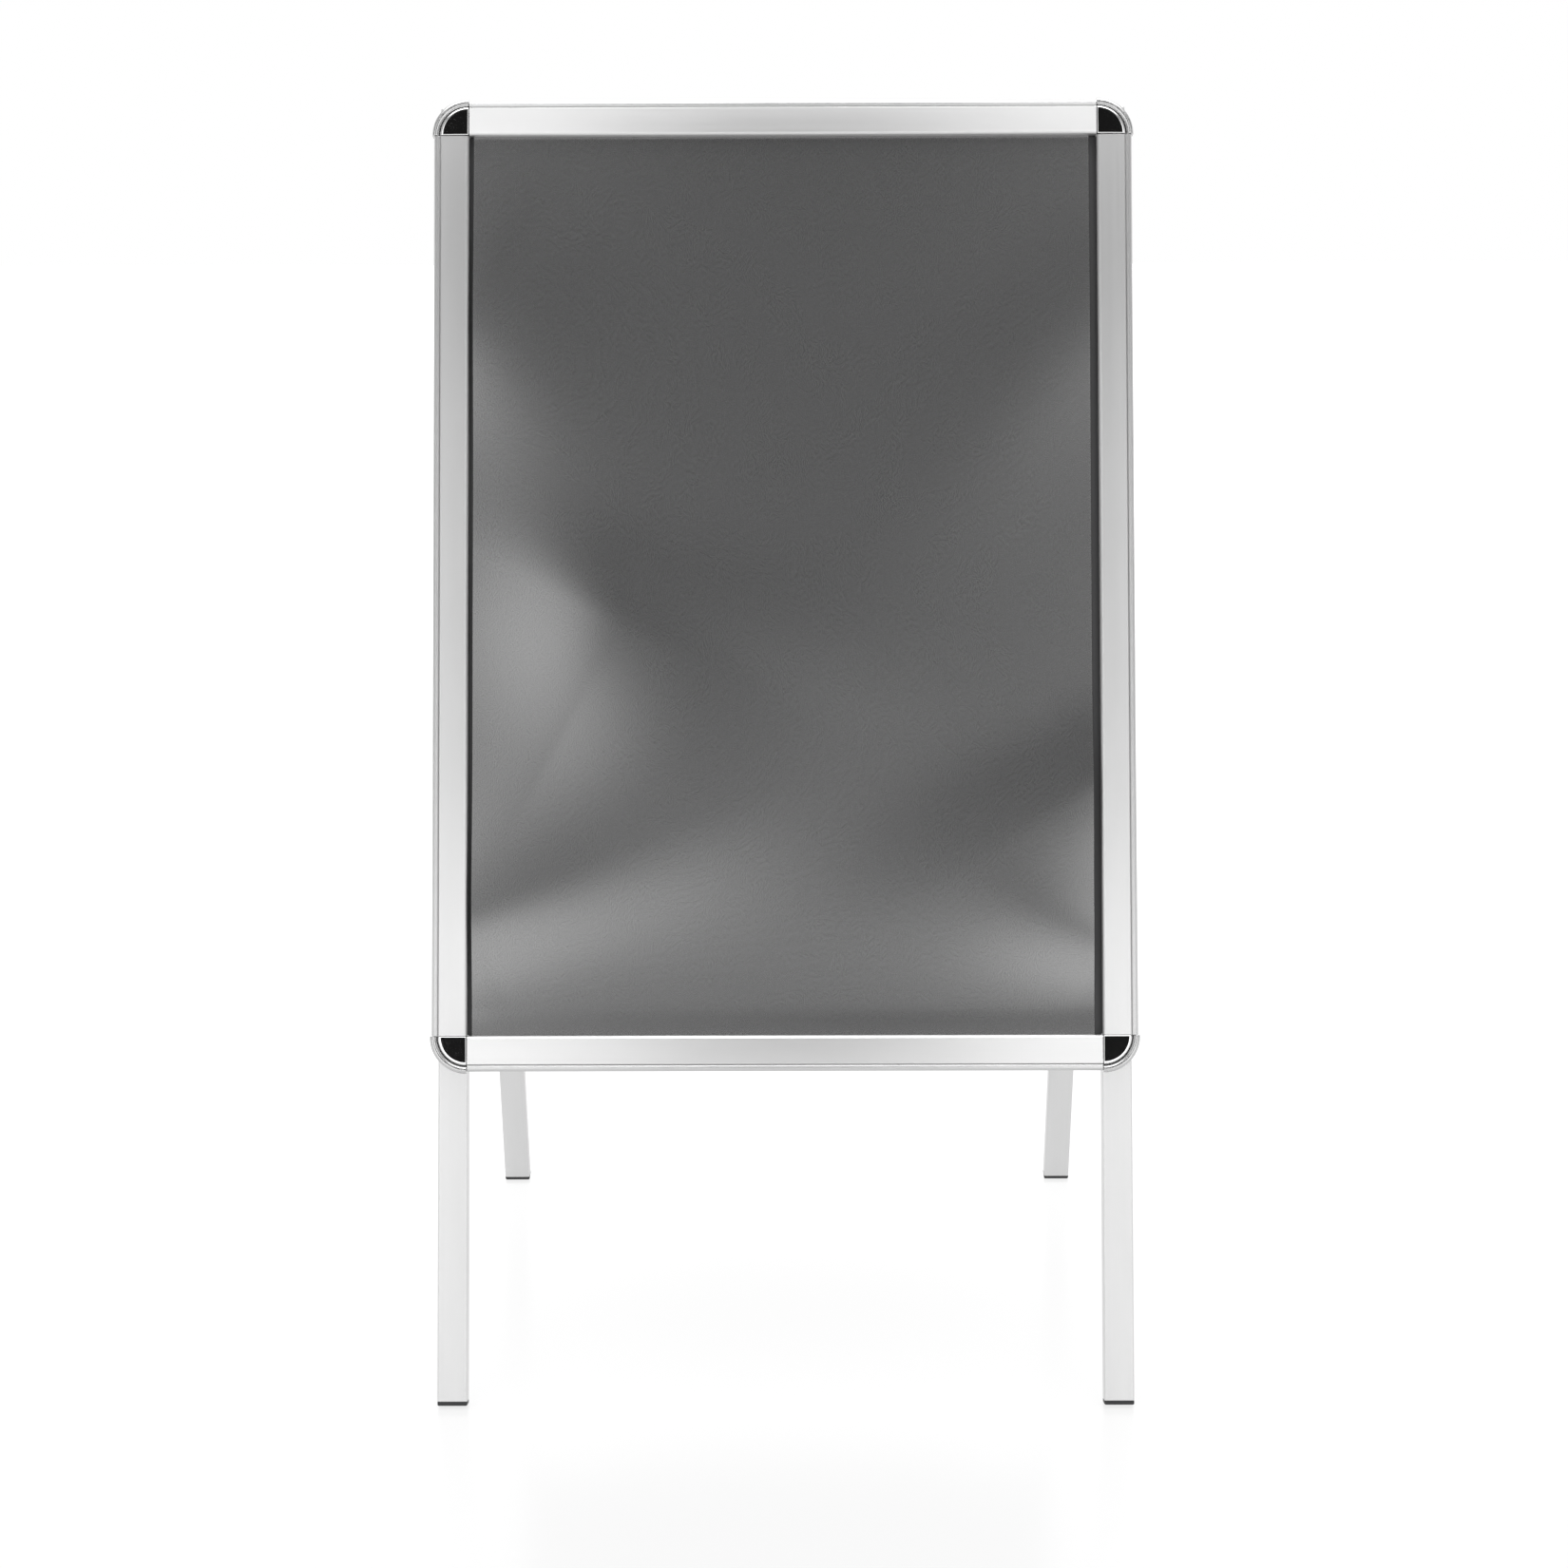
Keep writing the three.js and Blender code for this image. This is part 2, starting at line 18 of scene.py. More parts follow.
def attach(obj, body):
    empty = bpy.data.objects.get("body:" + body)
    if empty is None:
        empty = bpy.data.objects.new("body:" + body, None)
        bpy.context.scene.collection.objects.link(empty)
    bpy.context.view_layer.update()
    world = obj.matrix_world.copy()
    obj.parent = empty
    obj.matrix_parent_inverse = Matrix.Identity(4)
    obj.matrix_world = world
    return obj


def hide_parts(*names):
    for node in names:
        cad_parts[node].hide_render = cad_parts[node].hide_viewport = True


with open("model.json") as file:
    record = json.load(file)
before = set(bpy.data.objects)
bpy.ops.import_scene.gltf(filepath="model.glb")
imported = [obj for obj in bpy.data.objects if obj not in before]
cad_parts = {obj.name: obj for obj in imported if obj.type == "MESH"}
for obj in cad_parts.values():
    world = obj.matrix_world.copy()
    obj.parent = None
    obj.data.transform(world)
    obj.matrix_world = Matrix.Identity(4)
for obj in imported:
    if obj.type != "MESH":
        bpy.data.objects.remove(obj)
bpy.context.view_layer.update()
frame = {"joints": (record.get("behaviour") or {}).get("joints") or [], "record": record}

# ---------------------------------------------------------------- dimensions, in mm

MM = 0.001
GAP = 0.3

OPENING_WIDTH = 574
OPENING_HEIGHT = 821
OPENING_TOP_DOWN = 24
OPENING_MIDDLE_DOWN = OPENING_TOP_DOWN + OPENING_HEIGHT / 2
BAR_WIDTH = 32
FRAME_OUT = 19.3

LEG_OUT = 4
LEG_DEPTH = 15
LEG_WIDTH = 27
LEG_WALL = 1.5
LEG_ROUND = 1.8
LEG_OUTER_X = 314.2
LEG_TOP_UP = 4
LEG_X = LEG_OUTER_X - LEG_WIDTH / 2
LEG_INNER_X = LEG_OUTER_X - LEG_WIDTH
LEG_MIDDLE_OUT = LEG_OUT + LEG_DEPTH / 2
SIDE_LENGTH = 1178
SOLE_THICKNESS = 3.6
SOLE_ROUND = 1.2
PLUG_DEPTH = 22

HEAD_RADIUS = 3.45
HEAD_U = BAR_WIDTH - HEAD_RADIUS
HEAD_W = 8.6
COVER_W = 12.3
LIP_W = 5.0

PANEL_THICKNESS = 1.2
PANEL_W = 1.5
PANEL_TUCK = 15.6
SHEET_THICKNESS = 0.5
SHEET_W = 4.2
SHEET_TUCK = 10
SHEET_LEFT_MARGIN = 4
SHEET_RIGHT_MARGIN = 7
SHEET_EASE = 25  # distance from a lip over which the sheet comes up to its full ripple

CORNER_RADIUS = 33.8

PLATE = 2.5
EYE_RADIUS = 8
PIN_RADIUS = 3
OUTER_LAYER_X = LEG_INNER_X - GAP - PLATE
INNER_LAYER_X = OUTER_LAYER_X - GAP - PLATE
STAY_PIVOT_DOWN = 400
STAY_STUD_DOWN = 120
STAY_HALF_WIDTH = 5.5
STAY_HEAD_WALL = 3.4  # metal beside the slot
RIVET_RADIUS = 2.5
RIVET_OUT = 9

FOLD = next(j for j in frame["joints"] if j["name"] == "fold")
FOLD_RANGE = math.radians(FOLD["range_deg"][1])
TILT = FOLD_RANGE / 2
HINGE_HEIGHT = FOLD["pos_m"][2]

BODY_OF = {
    node: body for body, nodes in frame["record"]["behaviour"]["bodies"].items() for node in nodes
}

# ---------------------------------------------------------------- places

FRONT_SIDE = Matrix.Translation((0, 0, HINGE_HEIGHT)) @ Matrix.Rotation(-TILT, 4, "X")
REAR_SIDE = Matrix.Rotation(math.pi, 4, "Z") @ FRONT_SIDE


def shift(x, y, z):
    """A move by x, y and z millimetres."""
    return Matrix.Translation(Vector((x, y, z)) * MM)


def on_frame(quarter):
    """From a bar's own frame to its side's: 0 is the bar on the +x side, then top, -x side and bottom."""
    half = OPENING_WIDTH / 2 if quarter % 2 == 0 else OPENING_HEIGHT / 2
    angle = quarter * math.pi / 2
    move = shift(half * math.cos(angle), -FRAME_OUT, half * math.sin(angle) - OPENING_MIDDLE_DOWN)
    return move @ Matrix.Rotation(-angle, 4, "Y") @ Matrix.Rotation(math.pi, 4, "X")


def at_corner(quarter):
    """From a corner's own frame to its side's: a corner sits at the +z end of its bar."""
    along = OPENING_HEIGHT / 2 if quarter % 2 == 0 else OPENING_WIDTH / 2
    return on_frame(quarter) @ shift(0, 0, along)


# A plate drawn as (y, z) of a side and extruded along x.
AXES_YZX = Matrix(((0, 0, 1, 0), (1, 0, 0, 0), (0, 1, 0, 0), (0, 0, 0, 1)))

# ---------------------------------------------------------------- outlines


def arc(x, y, radius, start, end, step=6):
    """Points on an arc about (x, y), from start to end degrees."""
    count = max(1, round(abs(end - start) / step))
    angles = [math.radians(start + (end - start) * i / count) for i in range(count + 1)]
    return [(x + radius * math.cos(a), y + radius * math.sin(a)) for a in angles]


def turn_at(before, here, after):
    """How far an outline turns at a point, in degrees."""
    first = math.atan2(here[1] - before[1], here[0] - before[0])
    second = math.atan2(after[1] - here[1], after[0] - here[0])
    return abs(math.degrees((second - first + math.pi) % (2 * math.pi) - math.pi))


def softened(points, radius, steps=4, sharpest=22):
    """The outline with each sharp point replaced by a small round of about that radius."""
    made = []
    for i, here in enumerate(points):
        before, after = points[i - 1], points[(i + 1) % len(points)]
        turn = turn_at(before, here, after)
        if turn < sharpest:
            made.append(here)
            continue
        p, q, r = Vector(before), Vector(here), Vector(after)
        reach = radius * math.tan(math.radians(turn) / 2)
        reach = min(reach, 0.45 * (p - q).length, 0.45 * (r - q).length)
        start = q + (p - q).normalized() * reach
        end = q + (r - q).normalized() * reach
        for k in range(steps + 1):
            t = k / steps
            made.append(tuple((1 - t) ** 2 * start + 2 * t * (1 - t) * q + t * t * end))
    return made


def inset(points, distance):
    """The outline moved to its left by that distance, which is into the material."""
    moved = []
    for i, here in enumerate(points):
        before = Vector(here) - Vector(points[i - 1])
        after = Vector(points[(i + 1) % len(points)]) - Vector(here)
        before.normalize()
        after.normalize()
        along = (before + after).normalized()
        across = Vector((-along.y, along.x))
        stretch = 1 / max(0.5, along.dot(after))
        moved.append(tuple(Vector(here) + across * distance * stretch))
    return moved


def rounded_rectangle(width, depth, radius):
    x = width / 2 - radius
    y = depth / 2 - radius
    return [
        *arc(x, -y, radius, -90, 0, 11.25),
        *arc(x, y, radius, 0, 90, 11.25),
        *arc(-x, y, radius, 90, 180, 11.25),
        *arc(-x, -y, radius, 180, 270, 11.25),
    ]


def ribbon(line, half_width):
    """The outline of a strip with round ends along a line of points."""
    left, right = [], []
    for i, here in enumerate(line):
        before, after = Vector(line[max(0, i - 1)]), Vector(line[min(len(line) - 1, i + 1)])
        along = (after - before).normalized()
        across = Vector((-along.y, along.x)) * half_width
        left.append(tuple(Vector(here) + across))
        right.append(tuple(Vector(here) - across))

    def heading(a, b):
        return math.degrees(math.atan2(b[1] - a[1], b[0] - a[0]))

    start, end = heading(line[0], line[1]), heading(line[-2], line[-1])
    return [
        *right,
        *arc(*line[-1], half_width, end - 84, end + 84),
        *reversed(left),
        *arc(*line[0], half_width, start + 96, start + 264),
    ]


# ---------------------------------------------------------------- meshes


def finished(name, bm, sharp=38):
    """A mesh with its faces turned outwards, smooth apart from its sharp edges."""
    bmesh.ops.recalc_face_normals(bm, faces=bm.faces)
    if bm.calc_volume(signed=True) < 0:
        bmesh.ops.reverse_faces(bm, faces=bm.faces)
    mesh = bpy.data.meshes.new(name)
    bm.to_mesh(mesh)
    bm.free()
    mesh.shade_smooth()
    mesh.set_sharp_from_angle(angle=math.radians(sharp))
    return mesh


def round_levels(start, end, rounding, steps=3):
    """(place, inset) pairs for a solid from start to end whose end edges are rounded."""
    quarter = [math.pi / 2 * k / steps for k in range(steps + 1)]
    curve = [(rounding * (1 - math.cos(a)), rounding * (1 - math.sin(a))) for a in quarter]
    lower = [(start + along, inwards) for along, inwards in curve]
    upper = [(end - along, inwards) for along, inwards in reversed(curve)]
    return lower + upper


def stack(name, loops, levels, sharp=38):
    """A solid from outlines, the outer one counterclockwise and holes clockwise, at (z, inset) levels.

    Its UV map runs round the outlines in u and along z in v, so that extrusion lines can follow it."""
    bm = bmesh.new()
    uv = bm.loops.layers.uv.new("UVMap")
    ends = [[], []]
    for points in loops:
        rings = []
        for z, inwards in levels:
            ring = [bm.verts.new((x * MM, y * MM, z * MM)) for x, y in inset(points, inwards)]
            rings.append(ring)
        ends[0].append(rings[0])
        ends[1].append(rings[-1])
        count = len(points)
        walk = [0.0]
        for i in range(count):
            walk.append(walk[-1] + (Vector(points[(i + 1) % count]) - Vector(points[i])).length * MM)
        for low, high, (z0, _), (z1, _) in zip(rings, rings[1:], levels, levels[1:]):
            for i in range(count):
                j = (i + 1) % count
                face = bm.faces.new((low[i], low[j], high[j], high[i]))
                places = [
                    (walk[i], z0 * MM),
                    (walk[i + 1], z0 * MM),
                    (walk[i + 1], z1 * MM),
                    (walk[i], z1 * MM),
                ]
                for loop, place in zip(face.loops, places):
                    loop[uv].uv = place
    for rings in ends:
        flat = [vert for ring in rings for vert in ring]
        for corners in tessellate_polygon([[vert.co for vert in ring] for ring in rings]):
            face = bm.faces.new([flat[i] for i in corners])
            for loop in face.loops:
                loop[uv].uv = loop.vert.co.xy
    return finished(name, bm, sharp)


def turned_along_x(name, profile, segments=48, rounding=0.25):
    """A round piece along X from (x, radius) pairs, with its edges softened."""
    smooth = softened(profile, rounding, steps=3)
    smooth = [(x, max(0.0, radius)) for x, radius in smooth]
    bm = bmesh.new()
    rings = []
    for x, radius in smooth:
        if radius < 0.02:
            rings.append([bm.verts.new((x * MM, 0, 0))])
            continue
        ring = []
        for i in range(segments):
            a = 2 * math.pi * i / segments
            ring.append(bm.verts.new((x * MM, radius * math.cos(a) * MM, radius * math.sin(a) * MM)))
        rings.append(ring)
    for one, two in zip(rings, rings[1:]):
        if len(one) == 1 and len(two) == 1:
            continue
        for i in range(segments):
            j = (i + 1) % segments
            corners = [one[i % len(one)], one[j % len(one)], two[j % len(two)], two[i % len(two)]]
            unique = list(dict.fromkeys(corners))
            if len(unique) > 2:
                bm.faces.new(unique)
    bmesh.ops.remove_doubles(bm, verts=bm.verts, dist=1e-7)
    unused = [vertex for vertex in bm.verts if not vertex.link_faces]
    bmesh.ops.delete(bm, geom=unused, context="VERTS")
    return finished(name, bm)


# ---------------------------------------------------------------- snap profile


def rail_outline():
    wall = 1.8
    back = 1.2
    ledge_w = 3.0
    ledge_top = 4.0
    web_u = PANEL_TUCK + 2 * GAP
    neck_u = BAR_WIDTH - wall
    neck_angle = 360 - math.degrees(math.acos((neck_u - HEAD_U) / HEAD_RADIUS))
    return [
        (2, 0),
        (BAR_WIDTH, 0),
        *arc(HEAD_U, HEAD_W, HEAD_RADIUS, 0, neck_angle),
        (neck_u, back),
        (web_u + back, back),
        (web_u + back, ledge_top),
        (4, ledge_top),
        (4, ledge_w),
        (web_u, ledge_w),
        (web_u, back),
        (2, back),
    ]


def cover_outline():
    socket_inner = HEAD_RADIUS + GAP
    socket_outer = socket_inner + 1.3
    under_w = COVER_W - 1.3
    under_angle = 180 - math.degrees(math.asin((under_w - HEAD_W) / socket_outer))
    nose = 3.2
    return [
        *arc(HEAD_U, HEAD_W, socket_inner, 235, 135),
        (25.1, COVER_W),
        *arc(nose, COVER_W - nose, nose, 90, 180),
        (0, LIP_W + 0.4),
        (0.4, LIP_W),
        (1.5, LIP_W),
        (1.5, COVER_W - nose),
        (2.2, under_w - 0.7),
        (3.2, under_w),
        *arc(HEAD_U, HEAD_W, socket_outer, under_angle, 235),
    ]


def spring_outline():
    thickness = 0.8
    curl = HEAD_RADIUS + 2.4
    flat_w = 1.5
    return [
        (18.8, flat_w),
        (24.6, flat_w),
        *arc(HEAD_U, HEAD_W, curl, 222, 180),
        *arc(HEAD_U, HEAD_W, curl + thickness, 180, 222),
        (23.4, flat_w + thickness),
        (18.8, flat_w + thickness),
    ]


def bar_mesh(name, outline, length, edge_round, end_round):
    levels = round_levels(-length / 2, length / 2, end_round)
    return stack(name, [softened(outline, edge_round)], levels)


# ---------------------------------------------------------------- corners


def rim_section():
    """Half-section of a corner's rim and roof, as (radius, w), counterclockwise."""
    rim = CORNER_RADIUS - HEAD_RADIUS
    return [
        (17, 0),
        (CORNER_RADIUS, 0),
        *arc(rim, HEAD_W, HEAD_RADIUS, 0, 190),
        (26.6, 7.4),
        (4, 7.4),
        (4, 6.2),
        (17, 6.2),
    ]


def sweep_rim(bm, edge_round=0.4, end_round=0.25, steps=40):
    """The rim turned a quarter round, with flat, slightly rounded ends beside the bars."""
    section = softened(rim_section(), edge_round)
    start = GAP + end_round
    rings = []
    ends = [(z, inwards) for z, inwards in round_levels(GAP, GAP + 10, end_round)][:3]
    for z, inwards in ends:
        rings.append([(u, w, z) for u, w in inset(section, inwards)])
    for i in range(steps + 1):
        a = math.pi / 2 * i / steps
        rings.append(
            [
                (start + (u - start) * math.cos(a), w, start + (u - start) * math.sin(a))
                for u, w in section
            ]
        )
    for x, inwards in reversed(ends):
        rings.append([(x, w, u) for u, w in inset(section, inwards)])
    verts = [[bm.verts.new(Vector(p) * MM) for p in ring] for ring in rings]
    count = len(section)
    for one, two in zip(verts, verts[1:]):
        for i in range(count):
            j = (i + 1) % count
            bm.faces.new((one[i], one[j], two[j], two[i]))
    for ring in (verts[0], verts[-1]):
        for corners in tessellate_polygon([[vert.co for vert in ring]]):
            bm.faces.new([ring[i] for i in corners])


def fillet_drop(distance, radius):
    """How far a rounded edge of that radius lies below the top, at a distance in from the edge."""
    if distance >= radius:
        return 0.0
    return radius - math.sqrt(max(0.0, radius**2 - (radius - max(0.0, distance)) ** 2))


def spread_shares(count, power=1.7):
    """Shares from 0 to 1, closer together near both ends."""
    shares = [i / count for i in range(count + 1)]
    return [0.5 * (2 * s) ** power if s < 0.5 else 1 - 0.5 * (2 - 2 * s) ** power for s in shares]


def pillow_cap(bm, count=44):
    """The raised mirror-like cap inside the rim.

    It is a quarter disc, soft along the arc and crisp beside the bars."""
    radius = 26.2 - GAP
    top = 13.35
    arc_round = 2.4
    side_round = 0.7
    crown = 0.3
    bottom = 7.6
    shares = spread_shares(count)
    grid = []
    for p in shares:
        row = []
        for q in shares:
            x = radius * p * math.sqrt(1 - q * q / 2)
            z = radius * q * math.sqrt(1 - p * p / 2)
            r = math.hypot(x, z)
            w = top - crown * (r / radius) ** 2
            w -= fillet_drop(radius - r, arc_round)
            w -= fillet_drop(x, side_round) + fillet_drop(z, side_round)
            row.append(bm.verts.new((MM * (x + GAP), MM * w, MM * (z + GAP))))
        grid.append(row)
    for i in range(count):
        for j in range(count):
            bm.faces.new((grid[i][j], grid[i + 1][j], grid[i + 1][j + 1], grid[i][j + 1]))
    edge = [row[0] for row in grid] + grid[-1][1:]
    edge += [row[-1] for row in reversed(grid[:-1])] + list(reversed(grid[0][1:-1]))
    skirt = [bm.verts.new((v.co.x, MM * bottom, v.co.z)) for v in edge]
    for i in range(len(edge)):
        j = (i + 1) % len(edge)
        bm.faces.new((edge[i], edge[j], skirt[j], skirt[i]))
    for corners in tessellate_polygon([[v.co for v in skirt]]):
        bm.faces.new([skirt[i] for i in corners])


def tongue(bm, low, high, rounding=0.3):
    """A small box with rounded long edges between two corners."""
    centre = [(a + b) / 2 for a, b in zip(low, high)]
    size = [b - a for a, b in zip(low, high)]
    made = bmesh.ops.create_cube(bm, size=1.0)["verts"]
    for v in made:
        v.co = Vector([c + s * k for c, s, k in zip(centre, size, v.co)]) * MM
    edges = list({e for v in made for e in v.link_edges})
    bmesh.ops.bevel(bm, geom=edges, offset=rounding * MM, segments=2, affect="EDGES", profile=0.5)


def corner_mesh():
    """The casting of one corner. Its rim uses material 1 and the rest uses material 0."""
    bm = bmesh.new()
    sweep_rim(bm)
    for face in bm.faces:
        face.material_index = 1
    pillow_cap(bm)
    tongue(bm, (19, 1.5, -24), (24.6, 3.3, 1))
    tongue(bm, (-24, 1.5, 19), (1, 3.3, 24.6))
    return finished("corner_casting", bm, sharp=50)


# ---------------------------------------------------------------- panel and sheet


def panel_mesh(name):
    x = OPENING_WIDTH / 2
    z = OPENING_HEIGHT / 2
    notch = 2 * GAP
    quarter = [(x - notch, -z - PANEL_TUCK), (x - notch, -z + notch), (x + PANEL_TUCK, -z + notch)]
    right = quarter + [(px, -pz) for px, pz in reversed(quarter)]
    outline = right + [(-px, -pz) for px, pz in right]
    return stack(name, [softened(outline, 0.3)], round_levels(0, PANEL_THICKNESS, 0.2))


class Ridge:
    """A buckle in the sheet: a crest that is highest at (s, t) and fades out along a heading.

    It fades faster the other way, which shows only where (s, t) isn't at the sheet's edge.

    s runs from -1 at the left edge to 1 at the right one, t from 0 at the bottom to 1 at the top.
    Heights, widths and lengths are in mm. The flank below the crest may be wider than the one above."""

    def __init__(self, s, t, heading, length, above, below, height):
        self.start = Vector((s * OPENING_WIDTH / 2, (t - 0.5) * OPENING_HEIGHT))
        self.along = Vector((math.cos(math.radians(heading)), math.sin(math.radians(heading))))
        upward = 1 if self.along.x > 0 else -1
        self.across = upward * Vector((-self.along.y, self.along.x))
        self.length = length
        self.above = above
        self.below = below
        self.height = height

    def at(self, x, z):
        away = Vector((x, z)) - self.start
        along = away.dot(self.along)
        across = away.dot(self.across)
        spread = 1 + max(0.0, along) / self.length * 0.6
        width = (self.above if across > 0 else self.below) * spread
        reach = self.length if along > 0 else self.length * 0.45
        fade = math.exp(-((along / reach) ** 2))
        return self.height * fade * math.exp(-((across / width) ** 2))


# The crests, from the left edge to the right one: a soft dome and two long folds at the left, then
# three folds at the right and a shallow trough along the bottom lip.
RIDGES = [
    Ridge(-0.52, 0.45, -28, 240, 62, 110, 9.0),
    Ridge(-1.0, 0.14, 22, 270, 80, 58, 7.5),
    Ridge(-1.0, 0.80, -35, 200, 90, 75, 6.0),
    Ridge(1.0, 0.275, 214, 160, 45, 80, 7.0),
    Ridge(1.0, 0.10, 160, 110, 28, 36, 2.5),
    Ridge(1.0, 0.80, 222, 300, 60, 60, 2.4),
    Ridge(1.0, 0.035, 180, 400, 55, 45, -1.5),
]


def ripple(x, z):
    """How far the sheet stands out from its flat place, in mm."""
    to_lip = min(1.0, max(0.0, (OPENING_HEIGHT / 2 - abs(z)) / SHEET_EASE))
    ease = to_lip * to_lip * (3 - 2 * to_lip)
    return ease * sum(ridge.at(x, z) for ridge in RIDGES)


def sheet_mesh(name, columns=150, rows=220):
    """A thin closed sheet that ripples between the lips that hold its upper and lower edges."""
    left = -OPENING_WIDTH / 2 + SHEET_LEFT_MARGIN
    right = OPENING_WIDTH / 2 - SHEET_RIGHT_MARGIN
    top = OPENING_HEIGHT / 2 + SHEET_TUCK
    bm = bmesh.new()
    layers = []
    for out in (SHEET_THICKNESS, 0.0):
        grid = []
        for i in range(columns + 1):
            x = left + (right - left) * i / columns
            column = []
            for j in range(rows + 1):
                z = -top + 2 * top * j / rows
                y = -(out + ripple(x, z))
                column.append(bm.verts.new((x * MM, y * MM, z * MM)))
            grid.append(column)
        layers.append(grid)
    for grid in layers:
        for i in range(columns):
            for j in range(rows):
                bm.faces.new((grid[i][j], grid[i + 1][j], grid[i + 1][j + 1], grid[i][j + 1]))
    front, back = layers
    rims = [
        ([g[0] for g in front], [g[0] for g in back]),
        ([g[-1] for g in front], [g[-1] for g in back]),
        (front[0], back[0]),
        (front[-1], back[-1]),
    ]
    for one, two in rims:
        for i in range(len(one) - 1):
            bm.faces.new((one[i], one[i + 1], two[i + 1], two[i]))
    return finished(name, bm, sharp=60)


# ---------------------------------------------------------------- legs and feet


def leg_mesh():
    outer = rounded_rectangle(LEG_WIDTH, LEG_DEPTH, LEG_ROUND)
    inner = rounded_rectangle(LEG_WIDTH - 2 * LEG_WALL, LEG_DEPTH - 2 * LEG_WALL, 1.0)
    bottom = -(SIDE_LENGTH - SOLE_THICKNESS - GAP)
    levels = round_levels(bottom, LEG_TOP_UP, 0.25)
    return stack("leg_tube", [outer, list(reversed(inner))], levels)


def foot_mesh():
    """A plug with a sole as wide as the tube, rounded underneath, and a ribbed stem inside the tube."""
    sole = rounded_rectangle(LEG_WIDTH, LEG_DEPTH, LEG_ROUND)
    levels = [(z, inwards) for z, inwards in round_levels(0, 20, SOLE_ROUND, steps=6) if z <= SOLE_ROUND]
    levels += [(SOLE_THICKNESS - 0.3, 0), (SOLE_THICKNESS - 0.08, 0.1), (SOLE_THICKNESS, 0.35)]
    stem = LEG_WALL + GAP + 0.4
    levels += [(SOLE_THICKNESS, stem)]
    for rib in (3, 8, 13, 18):
        base = SOLE_THICKNESS + rib
        levels += [(base - 1, stem), (base, stem - 0.35), (base + 1.5, stem)]
    levels += [(SOLE_THICKNESS + PLUG_DEPTH - 1, stem), (SOLE_THICKNESS + PLUG_DEPTH, stem + 0.6)]
    return stack("foot_plug", [sole], levels, sharp=30)


# ---------------------------------------------------------------- hinge and stays


def plate_mesh(name, outline, holes, from_x, to_x, sign, rounding=0.35):
    start, end = sorted((sign * from_x, sign * to_x))
    loops = [softened(outline, 1.2)] + [list(reversed(hole)) for hole in holes]
    mesh = stack(name, loops, round_levels(start, end, rounding))
    mesh.transform(AXES_YZX)
    return mesh


def ear_mesh(name, sign, layer_x, pad_to):
    ear_in, ear_out = LEG_OUT + 2, LEG_OUT + LEG_DEPTH - 1.5
    ear_top, ear_bottom, pad_top = 2, 44, 14
    outline = [
        *arc(0, 0, EYE_RADIUS, 15, 135),
        (-ear_out, -ear_top),
        (-ear_out, -ear_bottom),
        (-ear_in, -ear_bottom),
        (-ear_in + 3, -pad_top),
        *arc(0, 0, EYE_RADIUS, 285, 360),
    ]
    eye = arc(0, 0, PIN_RADIUS + GAP, 0, 354)
    mesh = plate_mesh(name, outline, [eye], layer_x, layer_x + PLATE, sign)
    if pad_to is None:
        return mesh
    pad = [(-ear_out, -ear_bottom), (-ear_in, -ear_bottom), (-ear_in, -pad_top), (-ear_out, -pad_top)]
    behind = plate_mesh(name + "_pad", pad, [], layer_x + PLATE - 0.2, pad_to, sign)
    bm = bmesh.new()
    bm.from_mesh(mesh)
    bm.from_mesh(behind)
    bpy.data.meshes.remove(behind)
    return finished(name, bm)


def hinge_pin_mesh():
    head = INNER_LAYER_X - GAP
    end = LEG_INNER_X + 1
    profile = [
        (head - 2.2, 0),
        (head - 2.2, 3.9),
        (head - 1.2, 5),
        (head, 5),
        (head, PIN_RADIUS),
        (end - 0.6, PIN_RADIUS),
        (end, PIN_RADIUS - 0.6),
        (end, 0),
    ]
    return turned_along_x("hinge_pin", profile, rounding=0.5)


def stud_from_pivot(apart):
    """Distance and lean from a stay's pivot to its stud, with the sides that far apart."""
    y = RIVET_OUT * (1 + math.cos(apart)) + STAY_STUD_DOWN * math.sin(apart)
    z = RIVET_OUT * math.sin(apart) - STAY_STUD_DOWN * math.cos(apart) + STAY_PIVOT_DOWN
    return math.hypot(y, z), math.atan2(y, z)


OPEN_LENGTH, OPEN_LEAN = stud_from_pivot(FOLD_RANGE)
SHUT_LEAN = stud_from_pivot(0)[1]
STAY_RATIO = (OPEN_LEAN - SHUT_LEAN) / FOLD_RANGE


def slot_line(steps=24):
    line = []
    for i in range(steps + 1):
        closed = FOLD_RANGE * i / steps
        length, lean = stud_from_pivot(FOLD_RANGE - closed)
        off_line = lean - (OPEN_LEAN - STAY_RATIO * closed)
        line.append((length * math.sin(off_line), length * math.cos(off_line)))
    return line


